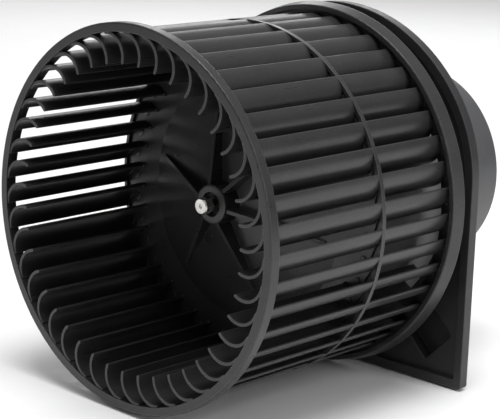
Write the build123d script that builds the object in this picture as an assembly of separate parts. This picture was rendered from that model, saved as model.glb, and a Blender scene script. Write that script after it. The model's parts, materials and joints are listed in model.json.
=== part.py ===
"""Heater blower: a forward-curved fan wheel on the shaft of a brushed motor, in a mounting flange with a motor cup.

Frame: origin on the shaft axis in the plane of the flange's front rim, +Y rearwards along the shaft, +Z up.
All sizes in millimetres.
"""
from build123d import *
import math
import os

os.makedirs("parts", exist_ok=True)

# ---- driving dimensions: the wheel -------------------------------------------------------------
WHEEL_FRONT = -119.0        # plane of the inlet ring
RING_R = 75.0               # outer radius of the inlet ring
RING_IN = 71.5              # its inner radius
RING_LENGTH = 4.8
BLADES = 43
BLADE_PHASE = 1.1           # angle of the first blade's inner edge, from +X towards +Z
BLADE_THICK = 1.15
BLADE_ARC_R = 8.65          # radius of a blade's curve
BLADE_ARC_X = 62.1          # centre of that curve, radially
BLADE_ARC_Z = 8.5           # and sideways, so that the blades lean into the turn
BLADE_START = -104.0        # angle of the inner edge on that curve
BLADE_END = 4.0             # angle of the outer edge
BLADE_FRONT = -118.6
BLADE_REAR = -12.0
BAND_R = 71.95              # thin hoop round the middle of the blades
BAND_IN = 70.5
BAND_FRONT = -54.3
BAND_LENGTH = 1.9
PLATE_FRONT = -53.8         # flat outer part of the hub plate
PLATE_THICK = 2.0
CONE_OUT = 51.0             # where the flat part turns into the cone
CONE_IN = 9.0
CONE_FRONT = -65.0
TOOTH_IN = 66.8             # the plate's front face steps down in saw-teeth towards its rim
TOOTH_OUT = 70.4
TOOTH_STEP = 0.7
BOSS_R = 8.0
BOSS_FRONT = -73.6
BOSS_REAR = -56.0
BOSS_RECESS_R = 5.0
BOSS_RECESS = 3.2
RIBS = 6
RIB_PHASE = 47.5
RIB_THICK = 1.5
RIB_OUT = 46.0
RIB_TOP = -72.6             # front edge of a rib where it meets the boss
REAR_RING_R = 75.2          # outer radius at the front edge of the rear ring
REAR_RING_FLARE = 76.3      # and at its rear edge
REAR_RING_FRONT = -14.8
REAR_RING_END = -9.0
REAR_RING_WALL = 2.0
REAR_PLATE_IN = 67.2        # flat plate inside the ring that closes the blades' rear ends
REAR_PLATE_THICK = 1.6

# ---- driving dimensions: the motor -------------------------------------------------------------
SHAFT_R = 3.4
SHAFT_TIP = -79.3
SHAFT_END = 54.4
SHAFT_FLAT = 2.9            # distance of the drive flat from the axis
RUN_GAP = 0.05              # running clearance of a bush on the shaft
CAN_R = 37.0
CAN_IN = 35.2
CAN_FRONT = -34.0
CAN_WALL = 1.8
CAN_REAR = 50.0
POCKET_R = 9.6              # bearing pockets of the can and the end bracket
POCKET_IN = 8.0
POCKET_DEPTH = 6.4
BEARING_R = 7.95
BEARING_LENGTH = 5.0
RETAINER_R = 15.0
CORE_R = 26.0
CORE_FRONT = -10.0
CORE_REAR = 28.0
SLOTS = 12
COIL_IN = 9.0
COIL_OUT = 22.5
COIL_LENGTH = 6.5
MAGNET_IN = 26.8
MAGNET_SPAN = 132.0
MAGNET_FRONT = -14.0
MAGNET_REAR = 31.0
CLIP_IN = 29.3               # springy clip that spreads the two magnets
CLIP_WALL = 0.9
CLIP_LEG = 4.0              # angle taken up by each leg of the clip
COM_R = 9.6
COM_CORE_R = 6.2
COM_FRONT = 35.5
COM_REAR = 45.5
CARD_FRONT = 46.2
CARD_THICK = 1.6
CARD_IN = 11.0
BRUSH_W = 6.0
BRUSH_FRONT = 37.6
BRUSH_REAR = 43.6
BRUSH_IN = 9.65
BRUSH_OUT = 19.5
HOLDER_WALL = 0.7
HOLDER_IN = 12.5
HOLDER_OUT = 28.0

# ---- driving dimensions: the flange and the cup ------------------------------------------------
FLANGE_R = 75.6
FLANGE_SIDE = 72.9          # the round outline is cut straight on the +X side
CORNER_R = 1.6
BEND_R = 60.0               # eases the round outline into the straight side
LIP_WIDTH = 3.7
LIP_DEPTH = 2.4             # the floor lies this far behind the rim
FLANGE_DEPTH = 4.4
OPENING_R = 41.6            # hole for the motor
SLEEVE_FRONT = -6.0
SLEEVE_WALL = 2.2
SPIGOT_WALL = 1.2           # low ring that centres the shroud on the flange
SPIGOT_FRONT = 0.4
SHROUD_R = 58.2             # drum round the motor, inside the rear half of the wheel
SHROUD_WALL = 2.0
SHROUD_FRONT = -38.0
SHROUD_EASE = 3.0
SHROUD_HOLE = 24.0
POCKET_X = 52.6             # moulded pocket in the square corner
POCKET_Z = -54.6
POCKET_SIDE = 18.6
POCKET_FLOOR = 10.0
EAR_X = -82.5
EAR_Z = 32.0
EAR_R = 7.0
EAR_HOLE_R = 2.75
CUP_R = 43.5
CUP_WALL = 2.0
CUP_REAR = 59.2
FOOT_R = 51.5
FOOT_THICK = 2.6
LUG_CIRCLE = 50.4
LUG_R = 5.5
LUG_ANGLES = (95, 200, 335)
SCREW_R = 1.9
SCREW_HEAD_R = 3.9
SCREW_HEAD = 2.6
SCREW_FRONT = -3.0
BOSS_SCREW_R = 4.4
PLUG_X = -22.0              # socket on the cup's rear face
PLUG_Z = -16.0
PLUG_W = 18.0
PLUG_H = 11.0
PLUG_LENGTH = 15.0
PAD_FRONT = -4.0            # rubber pads between the motor and the plastic
PAD_LENGTH = 18.0
PAD_STEP = 26.0
PAD_SPAN = 34.0


def at(radius, degrees):
    """Point on the front view's circle."""
    return (radius * math.cos(math.radians(degrees)), radius * math.sin(math.radians(degrees)))


def lathe(points):
    """Solid of revolution about the shaft axis; points are (radius, y)."""
    return revolve(make_face(Polyline(*points, close=True)), Axis.Y)


def tube(inner, outer, front, rear):
    return lathe([(inner, front), (outer, front), (outer, rear), (inner, rear)])


def slab(sketch, front, rear):
    """Pushes a front-view sketch, x right and y up, from front to rear along the shaft."""
    return extrude(Plane.XZ.offset(-rear) * sketch, rear - front)


def sector(half_angle):
    """Wedge about +X that a tube is cut with, along the whole motor."""
    reach = 2 * CAN_R
    far = 1.3 * reach / math.cos(math.radians(half_angle))
    wedge = make_face(Polyline((0, 0), at(far, -half_angle), at(far, half_angle), close=True))
    return slab(wedge, CAN_FRONT - 20, CUP_REAR)


def turned(piece, degrees):
    """Turns a piece about the shaft axis, from +X towards +Z."""
    return Rot(0, -degrees, 0) * piece


def ring_of(piece, count, phase=0.0):
    return [turned(piece, phase + 360 / count * step) for step in range(count)]


def rims(piece, radius):
    """The circular edges of one radius."""
    circles = piece.edges().filter_by(GeomType.CIRCLE)
    return ShapeList(edge for edge in circles if abs(edge.radius - radius) < 0.01)


def save(name, pieces):
    pieces = pieces if isinstance(pieces, list) else [pieces]
    solids = [solid for piece in pieces for solid in piece.solids()]
    export_step(Compound(children=solids) if len(solids) > 1 else solids[0], f"parts/{name}.step")


# ---- wheel ------------------------------------------------------------------------------------
def blade_sketch():
    """A blade's section: a curved strip of even thickness with rounded edges."""
    def on_curve(offset, degrees):
        x, z = at(BLADE_ARC_R + offset, degrees)
        return (BLADE_ARC_X + x, BLADE_ARC_Z + z)

    half = BLADE_THICK / 2
    middle = (BLADE_START + BLADE_END) / 2
    tip = math.degrees(half / BLADE_ARC_R)
    edges = [
        ThreePointArc(on_curve(half, BLADE_START), on_curve(half, middle), on_curve(half, BLADE_END)),
        ThreePointArc(on_curve(half, BLADE_END), on_curve(0, BLADE_END + tip), on_curve(-half, BLADE_END)),
        ThreePointArc(on_curve(-half, BLADE_END), on_curve(-half, middle), on_curve(-half, BLADE_START)),
        ThreePointArc(on_curve(-half, BLADE_START), on_curve(0, BLADE_START - tip), on_curve(half, BLADE_START)),
    ]
    return make_face(edges)


def wheel():
    ring_rear = WHEEL_FRONT + RING_LENGTH
    front_ring = tube(RING_IN, RING_R, WHEEL_FRONT, ring_rear)
    front_ring = fillet(rims(front_ring, RING_R), 0.6)
    save("wheel_front_ring", front_ring)

    band = tube(BAND_IN, BAND_R, BAND_FRONT, BAND_FRONT + BAND_LENGTH)
    save("wheel_mid_band", band)

    whole = slab(blade_sketch(), BLADE_FRONT, BLADE_REAR)
    blade = whole - tube(RING_IN, RING_R, WHEEL_FRONT - 1, ring_rear) - band
    save("wheel_blades", ring_of(blade, BLADES, BLADE_PHASE))

    save("wheel_rear_ring", rear_ring())
    save("wheel_hub", hub())


def rear_ring():
    """Slightly flared ring round the blades' rear ends, with a flat plate across them set back inside it."""
    plate_rear = BLADE_REAR + REAR_PLATE_THICK
    rim_in = REAR_RING_FLARE - REAR_RING_WALL
    front_in = REAR_RING_R - REAR_RING_WALL
    ring = lathe([
        (REAR_PLATE_IN, BLADE_REAR), (front_in, BLADE_REAR), (front_in, REAR_RING_FRONT),
        (REAR_RING_R, REAR_RING_FRONT), (REAR_RING_FLARE, REAR_RING_END), (rim_in, REAR_RING_END),
        (rim_in, plate_rear), (REAR_PLATE_IN, plate_rear),
    ])
    return fillet(rims(ring, REAR_RING_R), 0.5)


def hub():
    """Plate between the blades, shallow cone, boss and ribs, moulded together."""
    pitch = 360 / BLADES
    rim = []
    for step in range(BLADES):
        angle = BLADE_PHASE + pitch * step
        rim.append(at(TOOTH_IN, angle + 3.4))
        rim.append(at(TOOTH_OUT, angle + pitch + 5.4))
    plate_rear = PLATE_FRONT + PLATE_THICK
    plate = slab(make_face(Polyline(*rim, close=True)), PLATE_FRONT, plate_rear)
    plate += tube(CONE_OUT, TOOTH_OUT, PLATE_FRONT + TOOTH_STEP, plate_rear)
    plate -= tube(0, CONE_OUT, PLATE_FRONT - 1, plate_rear + 1)
    strip = slab(blade_sketch(), PLATE_FRONT - 1, plate_rear + 1)
    plate = plate - ring_of(strip, BLADES, BLADE_PHASE)

    cone = lathe([
        (SHAFT_R, BOSS_FRONT + BOSS_RECESS), (BOSS_RECESS_R, BOSS_FRONT + BOSS_RECESS),
        (BOSS_RECESS_R, BOSS_FRONT), (BOSS_R - 0.8, BOSS_FRONT), (BOSS_R - 0.2, BOSS_FRONT + 0.25),
        (BOSS_R, BOSS_FRONT + 0.9), (BOSS_R + 0.2, CONE_FRONT - 0.4), (CONE_IN, CONE_FRONT),
        (CONE_OUT, PLATE_FRONT), (CONE_OUT + 1, PLATE_FRONT), (CONE_OUT + 1, plate_rear),
        (CONE_OUT, plate_rear), (CONE_IN + 1, CONE_FRONT + PLATE_THICK), (BOSS_R + 0.6, BOSS_REAR),
        (SHAFT_R, BOSS_REAR),
    ])
    slope = (PLATE_FRONT - CONE_FRONT) / (CONE_OUT - CONE_IN)
    floor = CONE_FRONT + slope * (RIB_OUT - CONE_IN)
    side = make_face(Polyline(
        (BOSS_R - 0.4, RIB_TOP), (RIB_OUT, floor - 0.9), (RIB_OUT, floor + 0.8),
        (BOSS_R - 0.4, CONE_FRONT + 0.8), close=True,
    ))
    rib = extrude(side, RIB_THICK / 2, both=True)
    return cone + plate + ring_of(rib, RIBS, RIB_PHASE)


# ---- rotor of the motor -------------------------------------------------------------------------
def rotor():
    shaft = Plane.XZ.offset(-SHAFT_END) * Circle(SHAFT_R)
    shaft = extrude(shaft, SHAFT_END - SHAFT_TIP)
    shaft = chamfer(shaft.edges().filter_by(GeomType.CIRCLE), 0.5)
    shaft -= Pos(0, SHAFT_TIP + 5.5, SHAFT_FLAT + 2) * Box(10, 11, 4)
    dimple = Pos(0, SHAFT_TIP, 0) * Sphere(0.9)
    save("motor_shaft", shaft - dimple)

    slot = slab(Pos(19.5, 0) * Rectangle(10, 5) + Pos(25, 0) * Rectangle(6, 1.8), CORE_FRONT - 1, CORE_REAR + 1)
    core = tube(SHAFT_R, CORE_R, CORE_FRONT, CORE_REAR) - ring_of(slot, SLOTS)
    save("armature_core", core)

    wire = slab(Pos(19.3, 0) * Rectangle(9.0, 4.4), CORE_FRONT - 0.5, CORE_REAR + 0.5)
    ends = [end_turns(CORE_FRONT - COIL_LENGTH, CORE_FRONT), end_turns(CORE_REAR, CORE_REAR + COIL_LENGTH)]
    save("armature_windings", Part() + ends + ring_of(wire, SLOTS))

    save("commutator_core", tube(SHAFT_R, COM_CORE_R, COM_FRONT, COM_REAR))
    gap = Pos(8, (COM_FRONT + COM_REAR) / 2, 0) * Box(8, COM_REAR - COM_FRONT + 2, 0.5)
    bars = tube(COM_CORE_R, COM_R, COM_FRONT, COM_REAR) - ring_of(gap, SLOTS, 15)
    save("commutator_bars", bars)

    washer = tube(SHAFT_R, 6.4, CAN_FRONT + 3.4, CAN_FRONT + 4.4)
    rear_washer = tube(SHAFT_R, 6.4, CARD_FRONT + 0.6, CARD_FRONT + 1.6)
    save("thrust_washers", [washer, rear_washer])


def end_turns(front, rear):
    """Bundle of wire at one end of the armature, with rounded shoulders."""
    bundle = tube(COIL_IN, COIL_OUT, front, rear)
    return fillet(bundle.edges().filter_by(GeomType.CIRCLE), 2.0)


# ---- stator of the motor ------------------------------------------------------------------------
def stator():
    pocket_front = CAN_FRONT - POCKET_DEPTH
    inner_wall = CAN_FRONT + CAN_WALL
    can = lathe([
        (SHAFT_R + 1.2, pocket_front), (POCKET_R, pocket_front), (POCKET_R, CAN_FRONT),
        (CAN_R - 2, CAN_FRONT), (CAN_R, CAN_FRONT + 2), (CAN_R, CAN_REAR), (CAN_IN, CAN_REAR),
        (CAN_IN, inner_wall), (POCKET_IN, inner_wall), (POCKET_IN, pocket_front + 1.5),
        (SHAFT_R + 1.2, pocket_front + 1.5),
    ])
    save("motor_can", can)

    bracket_rear = CAN_REAR + CAN_WALL
    pocket_rear = CAN_REAR + POCKET_DEPTH
    save("end_bracket", lathe([
        (POCKET_IN, CAN_REAR), (CAN_R, CAN_REAR), (CAN_R, bracket_rear), (POCKET_R, bracket_rear),
        (POCKET_R, pocket_rear), (0, pocket_rear), (0, pocket_rear - 1.3), (POCKET_IN, pocket_rear - 1.3),
    ]))

    save("front_bearing", bearing(pocket_front + 1.6))
    save("rear_bearing", bearing(pocket_rear - 1.4 - BEARING_LENGTH))
    front_clip = tube(SHAFT_R + 1.4, RETAINER_R, inner_wall, inner_wall + 0.6)
    rear_clip = tube(POCKET_IN - 2.0, RETAINER_R, CAN_REAR - 0.6, CAN_REAR)
    save("bearing_retainers", [front_clip, rear_clip])

    magnet = tube(MAGNET_IN, CAN_IN, MAGNET_FRONT, MAGNET_REAR) & sector(MAGNET_SPAN / 2)
    save("field_magnets", [magnet, turned(magnet, 180)])

    half_gap = 90 - MAGNET_SPAN / 2
    clip = tube(CLIP_IN, CAN_IN, MAGNET_FRONT + 2, MAGNET_REAR - 2) & sector(half_gap)
    clip -= tube(0, CAN_IN - CLIP_WALL, MAGNET_FRONT, MAGNET_REAR) & sector(half_gap - CLIP_LEG)
    save("magnet_springs", [turned(clip, 90), turned(clip, 270)])


def bearing(front):
    """Sintered bush with a rounded outside, so that it can line itself up in its pocket."""
    bore = SHAFT_R + RUN_GAP
    bush = tube(bore, BEARING_R, front, front + BEARING_LENGTH)
    return chamfer(rims(bush, BEARING_R), 1.6)


def brush_gear():
    card_rear = CARD_FRONT + CARD_THICK
    save("brush_card", tube(CARD_IN, CAN_IN - 0.1, CARD_FRONT, card_rear))

    middle = (BRUSH_FRONT + BRUSH_REAR) / 2
    depth = BRUSH_REAR - BRUSH_FRONT
    length = BRUSH_OUT - BRUSH_IN
    brush = Pos(0, middle, (BRUSH_IN + BRUSH_OUT) / 2) * Box(BRUSH_W, depth, length)
    save("carbon_brushes", [brush, turned(brush, 180)])

    outer = Box(BRUSH_W + 2 * HOLDER_WALL + 0.1, CARD_FRONT - BRUSH_FRONT + HOLDER_WALL, HOLDER_OUT - HOLDER_IN)
    outer = Pos(0, (CARD_FRONT + BRUSH_FRONT - HOLDER_WALL) / 2, (HOLDER_OUT + HOLDER_IN) / 2) * outer
    hollow = Pos(0, middle, (HOLDER_OUT + HOLDER_IN) / 2 - 1) * Box(BRUSH_W + 0.1, depth + 0.1, HOLDER_OUT - HOLDER_IN)
    holder = outer - hollow
    save("brush_holders", [holder, turned(holder, 180)])

    turns = 5
    free = HOLDER_OUT - 1 - BRUSH_OUT
    coils = []
    for step in range(turns):
        height = BRUSH_OUT + free * (step + 0.5) / turns
        coils.append(Pos(0, middle, height) * Torus(2.1, 0.45))
    save("brush_springs", coils + [turned(coil, 180) for coil in coils])

    core = Cylinder(1.6, 17)
    chokes = [Pos(x, CARD_FRONT - 3.3, 6) * (Cylinder(3.2, 13) - Cylinder(1.6, 14)) for x in (-24, 24)]
    cores = [Pos(x, CARD_FRONT - 3.3, 6) * core for x in (-24, 24)]
    save("choke_windings", chokes)
    save("choke_cores", cores)
    capacitor = fillet(Box(10, 4.6, 8).edges(), 0.8)
    save("capacitor", Pos(-22, CARD_FRONT - 2.3, -12) * capacitor)


# ---- flange, cup and what joins them --------------------------------------------------------------
def flange_outline():
    """Round, cut straight at the +X side, with one square corner at +X -Z."""
    disc = Circle(FLANGE_R) - Pos(FLANGE_SIDE + 20, 0) * Rectangle(40, 200)
    corner = Pos(FLANGE_SIDE / 2, -FLANGE_R / 2) * Rectangle(FLANGE_SIDE, FLANGE_R)
    outline = disc + corner
    tip = outline.vertices().sort_by_distance((FLANGE_SIDE, -FLANGE_R, 0))[0]
    outline = fillet(tip, CORNER_R)
    bend_z = math.sqrt(FLANGE_R ** 2 - FLANGE_SIDE ** 2)
    bend = outline.vertices().sort_by_distance((FLANGE_SIDE, bend_z, 0))[0]
    return fillet(bend, BEND_R)


def flange():
    outline = flange_outline()
    whole = slab(outline, 0, FLANGE_DEPTH)
    inside = slab(offset(outline, -LIP_WIDTH), -1, LIP_DEPTH)
    body = whole - inside
    for side in (1, -1):
        ear = Pos(EAR_X, side * EAR_Z) * Circle(EAR_R)
        ear += Pos(EAR_X + 10, side * EAR_Z) * Rectangle(20, 2 * EAR_R)
        body += slab(ear, 0, FLANGE_DEPTH) - slab(Circle(FLANGE_R - 1), -1, FLANGE_DEPTH + 1)
        body -= slab(Pos(EAR_X, side * EAR_Z) * Circle(EAR_HOLE_R), -1, FLANGE_DEPTH + 1)
    pocket = Pos(POCKET_X, POCKET_Z) * Rot(0, 0, 45) * RectangleRounded(POCKET_SIDE, POCKET_SIDE, 1.8)
    box = Pos(POCKET_X, POCKET_Z) * Rot(0, 0, 45) * RectangleRounded(POCKET_SIDE + 3.2, POCKET_SIDE + 3.2, 3)
    body += slab(box, FLANGE_DEPTH - 1, POCKET_FLOOR)
    body -= slab(pocket, -1, POCKET_FLOOR - 1.8)
    body += tube(OPENING_R, OPENING_R + SLEEVE_WALL, SLEEVE_FRONT, FLANGE_DEPTH)
    shroud_in = SHROUD_R - SHROUD_WALL
    body += tube(shroud_in - SPIGOT_WALL, shroud_in, SPIGOT_FRONT, FLANGE_DEPTH)
    for angle in LUG_ANGLES:
        body += slab(Pos(*at(LUG_CIRCLE, angle)) * Circle(BOSS_SCREW_R), SCREW_FRONT - 1.5, FLANGE_DEPTH)
    body -= tube(0, OPENING_R, SLEEVE_FRONT - 1, FLANGE_DEPTH + 1)
    for angle in LUG_ANGLES:
        body -= slab(Pos(*at(LUG_CIRCLE, angle)) * Circle(SCREW_R), SCREW_FRONT, FLANGE_DEPTH + 1)
    save("mounting_flange", body)


def shroud():
    """Drum that keeps the wheel's air off the motor; open in front for the shaft and the cooling air."""
    inner = SHROUD_R - SHROUD_WALL
    back = SHROUD_FRONT + SHROUD_WALL
    drum = lathe([
        (SHROUD_HOLE, SHROUD_FRONT), (SHROUD_R, SHROUD_FRONT), (SHROUD_R, LIP_DEPTH), (inner, LIP_DEPTH),
        (inner, back), (SHROUD_HOLE, back),
    ])
    corner = rims(drum, SHROUD_R).sort_by(Axis.Y)[0]
    save("motor_shroud", fillet(corner, SHROUD_EASE))


def cup():
    foot_rear = FLANGE_DEPTH + FOOT_THICK
    body = lathe([
        (OPENING_R, FLANGE_DEPTH), (FOOT_R, FLANGE_DEPTH), (FOOT_R, foot_rear), (CUP_R, foot_rear),
        (CUP_R, CUP_REAR - 0.8), (CUP_R - 0.8, CUP_REAR), (0, CUP_REAR), (0, CUP_REAR - CUP_WALL),
        (OPENING_R, CUP_REAR - CUP_WALL),
    ])
    for angle in LUG_ANGLES:
        lug = Pos(*at(LUG_CIRCLE, angle)) * Circle(LUG_R)
        lug += Rot(0, 0, angle) * Pos(LUG_CIRCLE - 4, 0) * Rectangle(8, 2 * LUG_R)
        body += slab(lug, FLANGE_DEPTH, foot_rear)
        body -= slab(Pos(*at(LUG_CIRCLE, angle)) * Circle(SCREW_R), FLANGE_DEPTH - 1, foot_rear + 1)
    for x in (-4, 4):
        body -= Pos(PLUG_X + x, CUP_REAR, PLUG_Z) * Box(0.9, 10, 6.4)
    save("motor_cup", body)

    socket = Pos(PLUG_X, CUP_REAR + PLUG_LENGTH / 2, PLUG_Z) * Box(PLUG_W, PLUG_LENGTH, PLUG_H)
    socket = fillet(socket.edges().filter_by(Axis.Y), 1.6)
    hollow = Pos(PLUG_X, CUP_REAR + PLUG_LENGTH / 2 + 1.6, PLUG_Z)
    hollow *= Box(PLUG_W - 2.8, PLUG_LENGTH, PLUG_H - 2.8)
    for x in (-4, 4):
        socket -= Pos(PLUG_X + x, CUP_REAR, PLUG_Z) * Box(0.9, 10, 6.4)
    save("connector_socket", socket - hollow)

    blades = [Pos(PLUG_X + x, CUP_REAR + 3.4, PLUG_Z) * Box(0.8, 16.4, 6.3) for x in (-4, 4)]
    save("connector_terminals", blades)

    head_front = foot_rear
    shank = slab(Circle(SCREW_R), SCREW_FRONT + 0.2, head_front)
    head = slab(Circle(SCREW_HEAD_R), head_front, head_front + SCREW_HEAD)
    head = fillet(head.edges().filter_by(GeomType.CIRCLE).sort_by(Axis.Y)[-1], 1.0)
    cross = Pos(0, head_front + SCREW_HEAD, 0) * (Box(4.4, 2.6, 0.9) + Box(0.9, 2.6, 4.4))
    screw = Part() + [shank, head] - cross
    screws = []
    for angle in LUG_ANGLES:
        x, z = at(LUG_CIRCLE, angle)
        screws.append(Pos(x, 0, z) * screw)
    save("cup_screws", screws)

    pad = tube(CAN_R, OPENING_R, PAD_FRONT, PAD_FRONT + PAD_LENGTH) & sector(PAD_SPAN / 2)
    pads = ring_of(pad, 3, 30)
    rear_pads = [Pos(0, PAD_STEP, 0) * piece for piece in pads]
    save("rubber_isolators", pads + rear_pads)


wheel()
rotor()
stator()
brush_gear()
flange()
shroud()
cup()
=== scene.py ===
"""Heater blower: finishes, small moulded details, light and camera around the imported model.

Metres, in the model's frame: origin on the shaft axis at the flange's front rim, +Y rearwards, +Z up.
"""
import bmesh
import bpy
import json
import math
from mathutils import Euler, Matrix, Vector


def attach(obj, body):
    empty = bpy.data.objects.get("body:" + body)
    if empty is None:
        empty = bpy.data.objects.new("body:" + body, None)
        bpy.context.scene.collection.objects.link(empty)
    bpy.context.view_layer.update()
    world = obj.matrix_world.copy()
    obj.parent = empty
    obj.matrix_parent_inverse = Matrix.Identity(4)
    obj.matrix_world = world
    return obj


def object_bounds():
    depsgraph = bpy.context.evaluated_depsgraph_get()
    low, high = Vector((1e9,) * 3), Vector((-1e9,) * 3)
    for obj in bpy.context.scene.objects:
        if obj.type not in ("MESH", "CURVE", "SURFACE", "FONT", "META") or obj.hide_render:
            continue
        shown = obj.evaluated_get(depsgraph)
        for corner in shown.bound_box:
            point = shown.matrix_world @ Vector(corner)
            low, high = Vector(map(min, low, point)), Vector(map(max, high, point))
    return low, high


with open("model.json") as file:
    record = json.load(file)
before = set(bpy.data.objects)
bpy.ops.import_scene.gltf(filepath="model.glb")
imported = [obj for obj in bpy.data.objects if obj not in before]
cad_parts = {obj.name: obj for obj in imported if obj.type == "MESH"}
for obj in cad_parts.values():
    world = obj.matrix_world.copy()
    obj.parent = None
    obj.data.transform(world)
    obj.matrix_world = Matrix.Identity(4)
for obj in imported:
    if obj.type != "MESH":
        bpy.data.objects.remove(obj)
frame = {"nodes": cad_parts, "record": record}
cad_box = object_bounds()

MM = 0.001
AXIS_TURN = Matrix.Rotation(math.radians(90), 4, "X")   # takes a piece's own +Z to -Y, towards the inlet

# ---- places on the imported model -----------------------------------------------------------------
BLADES = 43
PITCH = 360 / BLADES
BLADE_PHASE = 1.1
BLADE_INNER_R = 60.0 * MM
PLATE_FRONT = -53.8 * MM
RING_PLATE_FRONT = -12.0 * MM
RING_MARK_R = 69.4 * MM
MARK_R = 64.2 * MM
HUB_MARK_SIZE = 1.5 * MM
HUB_MARK_HEIGHT = 0.35 * MM
STUD_R = BLADE_INNER_R - 0.3 * MM
STUD_SIZE = 0.9 * MM
STUD_HEIGHT = 1.2 * MM
RING_MARK_SHIFT = 0.25 * PITCH      # from a blade's inner edge, in the turning direction
RING_MARK_SIZE = 0.6 * MM
RING_MARK_HEIGHT = 0.25 * MM
BUTTON_FOOT = 0.3 * MM              # how far a mark is sunk into the face it stands on
BUTTON_SIDES = 16

# ---- camera: place, aim and lens ------------------------------------------------------------------
CAMERA_AT = (0.45567, -0.53531, 0.15318)
CAMERA_AZIMUTH = 43.24
CAMERA_ELEVATION = 13.42
CAMERA_ROLL = 1.82
CAMERA_LENS = 121.31

# ---- light ----------------------------------------------------------------------------------------
SKY_LOW = 0.12
SKY_TOP = 0.6
LIGHT_AIM = (0.0, -0.05, 0.0)
SOFTBOXES = [                       # name, place, size, power
    ("key", (0.20, -0.25, 1.60), (0.85, 0.85), 24.0),
    ("side", (0.95, 0.10, 0.42), (0.35, 0.8), 3.5),
    ("back", (-0.80, 0.95, 0.55), (0.9, 0.25), 3.0),
]
FLOOR_HALF = 6.0
FLOOR_GAP = 0.1 * MM


class Finish:
    """A material built from nodes; each method adds a few and returns an output socket."""

    def __init__(self, name, metallic=0.0, ior=1.5):
        self.material = bpy.data.materials.new(name)
        self.material.use_nodes = True
        self.tree = self.material.node_tree
        self.tree.nodes.clear()
        self.out = self.add("ShaderNodeOutputMaterial")
        self.shader = self.add("ShaderNodeBsdfPrincipled")
        self.shader.inputs["Metallic"].default_value = metallic
        self.shader.inputs["IOR"].default_value = ior
        self.join(self.shader.outputs["BSDF"], self.out.inputs["Surface"])
        self.place = self.add("ShaderNodeTexCoord").outputs["Object"]

    def add(self, kind, **settings):
        node = self.tree.nodes.new(kind)
        for key, value in settings.items():
            setattr(node, key, value)
        return node

    def join(self, source, target):
        self.tree.links.new(source, target)

    def noise(self, size, detail=2.0, roughness=0.5, place=None):
        """Noise whose blobs are about size metres across."""
        node = self.add("ShaderNodeTexNoise")
        node.inputs["Scale"].default_value = 1.0 / size
        node.inputs["Detail"].default_value = detail
        node.inputs["Roughness"].default_value = roughness
        self.join(place or self.place, node.inputs["Vector"])
        return node.outputs["Fac"]

    def stretched(self, scale, turn=(0, 0, 0)):
        """Object coordinates squeezed by scale, for scratches, flow marks and grain with a direction."""
        node = self.add("ShaderNodeMapping")
        node.inputs["Scale"].default_value = scale
        node.inputs["Rotation"].default_value = [math.radians(angle) for angle in turn]
        self.join(self.place, node.inputs["Vector"])
        return node.outputs["Vector"]

    def rings(self, spacing, distortion=0.0):
        """Fine lines round the shaft axis, spaced radially."""
        node = self.add("ShaderNodeTexWave", wave_type="RINGS", rings_direction="Y")
        node.inputs["Scale"].default_value = 0.314 / spacing
        node.inputs["Distortion"].default_value = distortion
        self.join(self.place, node.inputs["Vector"])
        return node.outputs["Fac"]

    def bands(self, direction, spacing, distortion=0.0):
        """Straight parallel lines across one axis."""
        node = self.add("ShaderNodeTexWave", wave_type="BANDS", bands_direction=direction)
        node.inputs["Scale"].default_value = 0.314 / spacing
        node.inputs["Distortion"].default_value = distortion
        self.join(self.place, node.inputs["Vector"])
        return node.outputs["Fac"]

    def remap(self, value, low, high, to_low, to_high):
        node = self.add("ShaderNodeMapRange")
        self.join(value, node.inputs["Value"])
        node.inputs["From Min"].default_value = low
        node.inputs["From Max"].default_value = high
        node.inputs["To Min"].default_value = to_low
        node.inputs["To Max"].default_value = to_high
        return node.outputs["Result"]

    def maths(self, operation, first, second):
        node = self.add("ShaderNodeMath", operation=operation)
        for socket, value in zip(node.inputs, (first, second)):
            if isinstance(value, (int, float)):
                socket.default_value = value
            else:
                self.join(value, socket)
        return node.outputs["Value"]

    def blend(self, share, first, second):
        """Colour between two, each a tuple or a socket."""
        node = self.add("ShaderNodeMix", data_type="RGBA")
        self.join(share, node.inputs["Factor"])
        for name, value in (("A", first), ("B", second)):
            socket = next(entry for entry in node.inputs if entry.name == name and entry.type == "RGBA")
            if isinstance(value, tuple):
                socket.default_value = (*value, 1.0)
            else:
                self.join(value, socket)
        return next(entry for entry in node.outputs if entry.type == "RGBA")

    def rounded(self, radius):
        """Normal with the sharp edges eased."""
        node = self.add("ShaderNodeBevel")
        node.samples = 4
        node.inputs["Radius"].default_value = radius
        return node.outputs["Normal"]

    def edges(self, radius):
        """1 along sharp edges, 0 on open faces, broken up by noise."""
        plain = self.add("ShaderNodeNewGeometry").outputs["Normal"]
        compare = self.add("ShaderNodeVectorMath", operation="DOT_PRODUCT")
        self.join(self.rounded(radius), compare.inputs[0])
        self.join(plain, compare.inputs[1])
        line = self.remap(compare.outputs["Value"], 0.995, 0.86, 0.0, 1.0)
        broken = self.remap(self.noise(4 * MM, 4.0, 0.6), 0.35, 0.65, 0.35, 1.0)
        return self.maths("MULTIPLY", line, broken)

    def relief(self, layers, normal=None):
        """Bump from (height socket, depth in metres) layers, one on another."""
        for height, depth in layers:
            node = self.add("ShaderNodeBump")
            node.inputs["Strength"].default_value = 1.0
            node.inputs["Distance"].default_value = depth
            self.join(height, node.inputs["Height"])
            if normal is not None:
                self.join(normal, node.inputs["Normal"])
            normal = node.outputs["Normal"]
        self.join(normal, self.shader.inputs["Normal"])

    def colour(self, socket):
        self.join(socket, self.shader.inputs["Base Color"])

    def gloss(self, socket):
        self.join(socket, self.shader.inputs["Roughness"])


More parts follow.
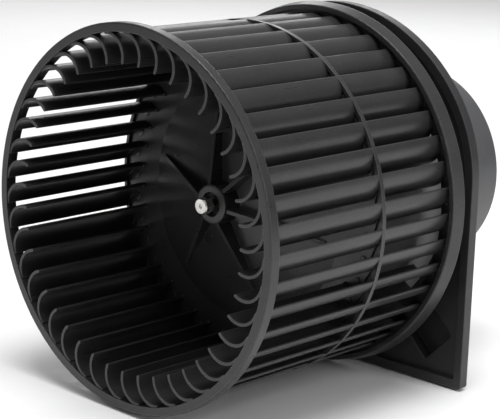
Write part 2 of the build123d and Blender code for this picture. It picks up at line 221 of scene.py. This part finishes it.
def moulded(name, dark, light, worn_and_highlight, rough, grain=0.35 * MM, depth=0.012 * MM, ease=0.35 * MM):
    """Moulded plastic: cloudy colour, faint flow marks, fine grain, paler edges that are partly rubbed wear
    and partly painted highlight, rare scratches.
    """
    made = Finish(name, ior=1.48)
    cloud = made.remap(made.noise(26 * MM, 4.0, 0.55), 0.3, 0.7, 0.0, 1.0)
    body = made.blend(cloud, dark, light)
    speck = made.remap(made.noise(0.5 * MM, 2.0, 0.6), 0.62, 0.74, 0.0, 0.35)
    body = made.blend(speck, body, worn_and_highlight)
    # Paler edges: partly rubbed wear, partly a painted highlight standing in for light catching the edges.
    body = made.blend(made.maths("MULTIPLY", made.edges(ease), 0.9), body, worn_and_highlight)
    made.colour(body)

    flow = made.noise(9 * MM, 3.0, 0.6, made.stretched((1.0, 0.12, 1.0)))
    scratch = made.noise(1.2 * MM, 1.0, 0.5, made.stretched((1.0, 0.05, 1.0), (12, 0, 35)))
    scratch = made.remap(scratch, 0.70, 0.78, 0.0, 1.0)
    shine = made.remap(flow, 0.3, 0.7, rough - 0.06, rough + 0.07)
    made.gloss(made.maths("SUBTRACT", shine, made.maths("MULTIPLY", scratch, 0.12)))
    made.relief(
        [(made.noise(grain, 3.0, 0.6), depth), (flow, 0.05 * MM), (scratch, -0.01 * MM)],
        made.rounded(ease),
    )
    return made.material


def metal(name, dark, light, rough, lines=None, depth=0.004 * MM, ease=0.25 * MM, tarnish=(0.2, 0.17, 0.13)):
    """Bare or plated metal: tone that drifts, tool lines, dull spots, bright rubbed edges."""
    made = Finish(name, metallic=1.0)
    drift = made.remap(made.noise(7 * MM, 4.0, 0.6), 0.3, 0.7, 0.0, 1.0)
    body = made.blend(drift, dark, light)
    spots = made.remap(made.noise(1.6 * MM, 3.0, 0.6), 0.60, 0.75, 0.0, 0.35)
    body = made.blend(spots, body, tarnish)
    rubbed = tuple(min(1.0, 1.15 * tone) for tone in light)
    body = made.blend(made.maths("MULTIPLY", made.edges(ease), 0.5), body, rubbed)
    made.colour(body)
    made.gloss(made.remap(made.noise(2.5 * MM, 4.0, 0.6), 0.3, 0.7, rough - 0.07, rough + 0.09))
    layers = [(made.noise(0.3 * MM, 2.0, 0.5), depth)]
    if lines == "turned":
        layers.append((made.rings(0.12 * MM, 1.0), 0.004 * MM))
        layers.append((made.bands("Y", 0.15 * MM, 1.5), 0.003 * MM))
    if lines == "stacked":
        layers.append((made.bands("Y", 0.5 * MM), 0.06 * MM))
    if lines == "drawn":
        layers.append((made.bands("Y", 1.1 * MM, 3.0), 0.006 * MM))
    made.relief(layers, made.rounded(ease))
    return made.material


def wound(name, dark, light, spacing):
    """Enamelled wire laid side by side."""
    made = Finish(name, metallic=0.75)
    turns = made.bands("DIAGONAL", spacing, 2.0)
    drift = made.noise(5 * MM, 3.0, 0.6)
    made.colour(made.blend(made.maths("MULTIPLY", turns, drift), dark, light))
    made.gloss(made.remap(drift, 0.3, 0.7, 0.24, 0.42))
    made.relief([(turns, 0.22 * MM), (made.noise(0.5 * MM), 0.02 * MM)])
    return made.material


def pressed(name, dark, light, rough, grain, depth):
    """Sintered or pressed powder: coarse grain with dark pores and chipped, paler edges."""
    made = Finish(name)
    pores = made.remap(made.noise(grain, 4.0, 0.7), 0.35, 0.6, 0.0, 1.0)
    body = made.blend(pores, dark, light)
    chipped = tuple(1.5 * tone for tone in light)
    body = made.blend(made.maths("MULTIPLY", made.edges(0.3 * MM), 0.5), body, chipped)
    made.colour(body)
    made.gloss(made.remap(made.noise(3 * MM, 3.0, 0.6), 0.3, 0.7, rough - 0.08, rough + 0.08))
    made.relief([(pores, depth)], made.rounded(0.3 * MM))
    return made.material


def rubber(name):
    made = Finish(name, ior=1.45)
    dust = made.remap(made.noise(3 * MM, 5.0, 0.7), 0.5, 0.75, 0.0, 0.4)
    made.colour(made.blend(dust, (0.018, 0.018, 0.019), (0.06, 0.058, 0.055)))
    made.gloss(made.remap(made.noise(2 * MM, 3.0, 0.6), 0.3, 0.7, 0.62, 0.82))
    made.relief([(made.noise(0.4 * MM, 3.0, 0.6), 0.03 * MM)], made.rounded(0.4 * MM))
    return made.material


def finishes():
    """One material for each of the record's slots."""
    return {
        # The wheel's third colour is raised so its paler edges are partly rubbed wear and partly a painted
        # highlight.
        "wheel_plastic": moulded(
            "wheel_plastic", (0.018, 0.0178, 0.0182), (0.026, 0.0255, 0.0262), (0.17, 0.167, 0.17), 0.33),
        "flange_plastic": moulded(
            "flange_plastic", (0.018, 0.018, 0.019), (0.026, 0.026, 0.027), (0.09, 0.09, 0.093), 0.40,
            ease=0.8 * MM),
        "cup_plastic": moulded(
            "cup_plastic", (0.060, 0.060, 0.063), (0.076, 0.076, 0.080), (0.16, 0.16, 0.165), 0.38,
            grain=0.25 * MM, depth=0.006 * MM),
        # Painted light: the shroud is the cup's light-grey plastic, with its tone raised well above the cup's
        # to stand in for light reaching it between the blades.
        "shroud_plastic": moulded(
            "shroud_plastic", (0.17, 0.17, 0.172), (0.21, 0.21, 0.212), (0.30, 0.30, 0.305), 0.36,
            grain=0.25 * MM, depth=0.006 * MM),
        "socket_nylon": moulded(
            "socket_nylon", (0.05, 0.05, 0.052), (0.07, 0.07, 0.073), (0.15, 0.15, 0.155), 0.5),
        "shaft_steel": metal("shaft_steel", (0.62, 0.61, 0.58), (0.82, 0.81, 0.78), 0.27, "turned"),
        "can_steel": metal("can_steel", (0.42, 0.42, 0.40), (0.60, 0.60, 0.57), 0.38, "drawn"),
        "spring_steel": metal("spring_steel", (0.40, 0.40, 0.41), (0.58, 0.58, 0.59), 0.3, "drawn"),
        "screw_steel": metal("screw_steel", (0.48, 0.47, 0.42), (0.66, 0.65, 0.58), 0.34, "turned"),
        "laminations": metal("laminations", (0.16, 0.16, 0.17), (0.27, 0.27, 0.28), 0.5, "stacked"),
        "bearing_bronze": metal(
            "bearing_bronze", (0.40, 0.25, 0.12), (0.58, 0.38, 0.20), 0.46,
            depth=0.02 * MM, tarnish=(0.12, 0.07, 0.03)),
        "brass_sheet": metal(
            "brass_sheet", (0.62, 0.46, 0.18), (0.78, 0.60, 0.28), 0.3, "drawn", tarnish=(0.30, 0.18, 0.06)),
        "copper": wound("copper", (0.26, 0.07, 0.025), (0.62, 0.24, 0.09), 0.55 * MM),
        "ferrite": pressed("ferrite", (0.035, 0.035, 0.038), (0.075, 0.075, 0.08), 0.6, 0.6 * MM, 0.03 * MM),
        "resin": pressed("resin", (0.09, 0.04, 0.018), (0.15, 0.07, 0.03), 0.42, 1.2 * MM, 0.01 * MM),
        "carbon": pressed("carbon", (0.012, 0.012, 0.012), (0.035, 0.035, 0.036), 0.55, 0.5 * MM, 0.03 * MM),
        "capacitor_film": pressed(
            "capacitor_film", (0.30, 0.15, 0.02), (0.42, 0.23, 0.05), 0.25, 2 * MM, 0.01 * MM),
        "isolator_rubber": rubber("isolator_rubber"),
    }


def paint(materials):
    """Gives every CAD node the finish of its slot, and keeps its mesh."""
    for part in frame["record"]["subparts"]:
        node = frame["nodes"][part["node"]]
        node.data.materials.clear()
        node.data.materials.append(materials[part["material_slot"]])


def piece(name, mesh_maker, body, slot, materials):
    """New mesh piece, made by mesh_maker(bmesh), that rides on a body."""
    shape = bmesh.new()
    mesh_maker(shape)
    mesh = bpy.data.meshes.new(name)
    shape.to_mesh(mesh)
    shape.free()
    for polygon in mesh.polygons:
        polygon.use_smooth = True
    made = bpy.data.objects.new(name, mesh)
    bpy.context.scene.collection.objects.link(made)
    made.data.materials.append(materials[slot])
    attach(made, body)
    return made


def add_button(shape, radius, height, foot, place):
    """Low round boss with a rolled edge; foot sinks it into the face it stands on. Its own +Z points out."""
    profile = [(radius, -foot), (radius, height * 0.4), (radius * 0.93, height * 0.85),
               (radius * 0.78, height), (0.0, height)]
    loops = []
    for across, up in profile[:-1]:
        loop = []
        for step in range(BUTTON_SIDES):
            angle = 2 * math.pi * step / BUTTON_SIDES
            spot = Vector((across * math.cos(angle), across * math.sin(angle), up))
            loop.append(shape.verts.new(place @ spot))
        loops.append(loop)
    for lower, upper in zip(loops, loops[1:]):
        for step in range(BUTTON_SIDES):
            following = (step + 1) % BUTTON_SIDES
            shape.faces.new((lower[step], lower[following], upper[following], upper[step]))
    shape.faces.new(loops[-1])
    shape.faces.new(list(reversed(loops[0])))


def around(radius, degrees, y):
    """Placement at a radius and angle on a plane across the shaft, facing the inlet."""
    angle = math.radians(degrees)
    spot = Vector((radius * math.cos(angle), y, radius * math.sin(angle)))
    return Matrix.Translation(spot) @ AXIS_TURN


def ring_of_buttons(count, radius, phase, y, size, height):
    def make(shape):
        for step in range(count):
            place = around(radius, phase + 360 / count * step, y)
            add_button(shape, size, height, BUTTON_FOOT, place)
    return make


def details(materials):
    """Ejector marks and small studs that the mould leaves on the wheel."""
    marks = [
        ("hub_ejector_marks", MARK_R, PITCH / 2, PLATE_FRONT, HUB_MARK_SIZE, HUB_MARK_HEIGHT),
        ("blade_root_studs", STUD_R, 0.0, PLATE_FRONT, STUD_SIZE, STUD_HEIGHT),
        ("rear_ring_marks", RING_MARK_R, RING_MARK_SHIFT, RING_PLATE_FRONT, RING_MARK_SIZE, RING_MARK_HEIGHT),
    ]
    for name, radius, shift, y, size, height in marks:
        maker = ring_of_buttons(BLADES, radius, BLADE_PHASE + shift, y, size, height)
        piece(name, maker, "rotor", "wheel_plastic", materials)


# ---- stage ----------------------------------------------------------------------------------------
def floor():
    mesh = bpy.data.meshes.new("floor")
    far = FLOOR_HALF
    corners = [(-far, -far, 0), (far, -far, 0), (far, far, 0), (-far, far, 0)]
    mesh.from_pydata(corners, [], [(0, 1, 2, 3)])
    made = bpy.data.objects.new("floor", mesh)
    made.location.z = cad_box[0].z - FLOOR_GAP
    bpy.context.scene.collection.objects.link(made)
    cover = Finish("floor_paper", ior=1.4)
    cover.shader.inputs["Roughness"].default_value = 0.85
    cover.colour(cover.blend(cover.noise(0.05, 3.0), (0.86, 0.86, 0.86), (0.90, 0.90, 0.90)))
    mesh.materials.append(cover.material)


def softbox(name, place, size, power):
    data = bpy.data.lights.new(name, "AREA")
    data.shape = "RECTANGLE"
    data.size, data.size_y = size
    data.energy = power
    lamp = bpy.data.objects.new(name, data)
    lamp.location = place
    lamp.visible_camera = False
    lamp.rotation_euler = (Vector(LIGHT_AIM) - Vector(place)).to_track_quat("-Z", "Y").to_euler()
    bpy.context.scene.collection.objects.link(lamp)


def light():
    """Sky that is bright overhead and dim at the horizon, with softboxes above, on the right and behind."""
    world = bpy.data.worlds.new("studio")
    bpy.context.scene.world = world
    world.use_nodes = True
    nodes, links = world.node_tree.nodes, world.node_tree.links
    place = nodes.new("ShaderNodeTexCoord")
    split = nodes.new("ShaderNodeSeparateXYZ")
    fade = nodes.new("ShaderNodeMapRange")
    fade.inputs["From Min"].default_value = 0.05
    fade.inputs["From Max"].default_value = 0.9
    fade.inputs["To Min"].default_value = SKY_LOW
    fade.inputs["To Max"].default_value = SKY_TOP
    links.new(place.outputs["Generated"], split.inputs["Vector"])
    links.new(split.outputs["Z"], fade.inputs["Value"])
    links.new(fade.outputs["Result"], nodes["Background"].inputs["Strength"])
    nodes["Background"].inputs["Color"].default_value = (1.0, 1.0, 1.0, 1.0)
    for settings in SOFTBOXES:
        softbox(*settings)


def camera():
    data = bpy.data.cameras.new("camera")
    data.lens = CAMERA_LENS
    data.sensor_width = 36.0
    data.clip_start = 0.01
    made = bpy.data.objects.new("camera", data)
    level = Euler((math.radians(90 - CAMERA_ELEVATION), 0.0, math.radians(CAMERA_AZIMUTH)), "XYZ").to_matrix()
    roll = Matrix.Rotation(math.radians(CAMERA_ROLL), 3, "Z")
    made.matrix_world = Matrix.Translation(CAMERA_AT) @ (level @ roll).to_4x4()
    bpy.context.scene.collection.objects.link(made)
    bpy.context.scene.camera = made


bpy.context.scene.view_settings.view_transform = "Standard"
camera()
light()
floor()
all_finishes = finishes()
paint(all_finishes)
details(all_finishes)
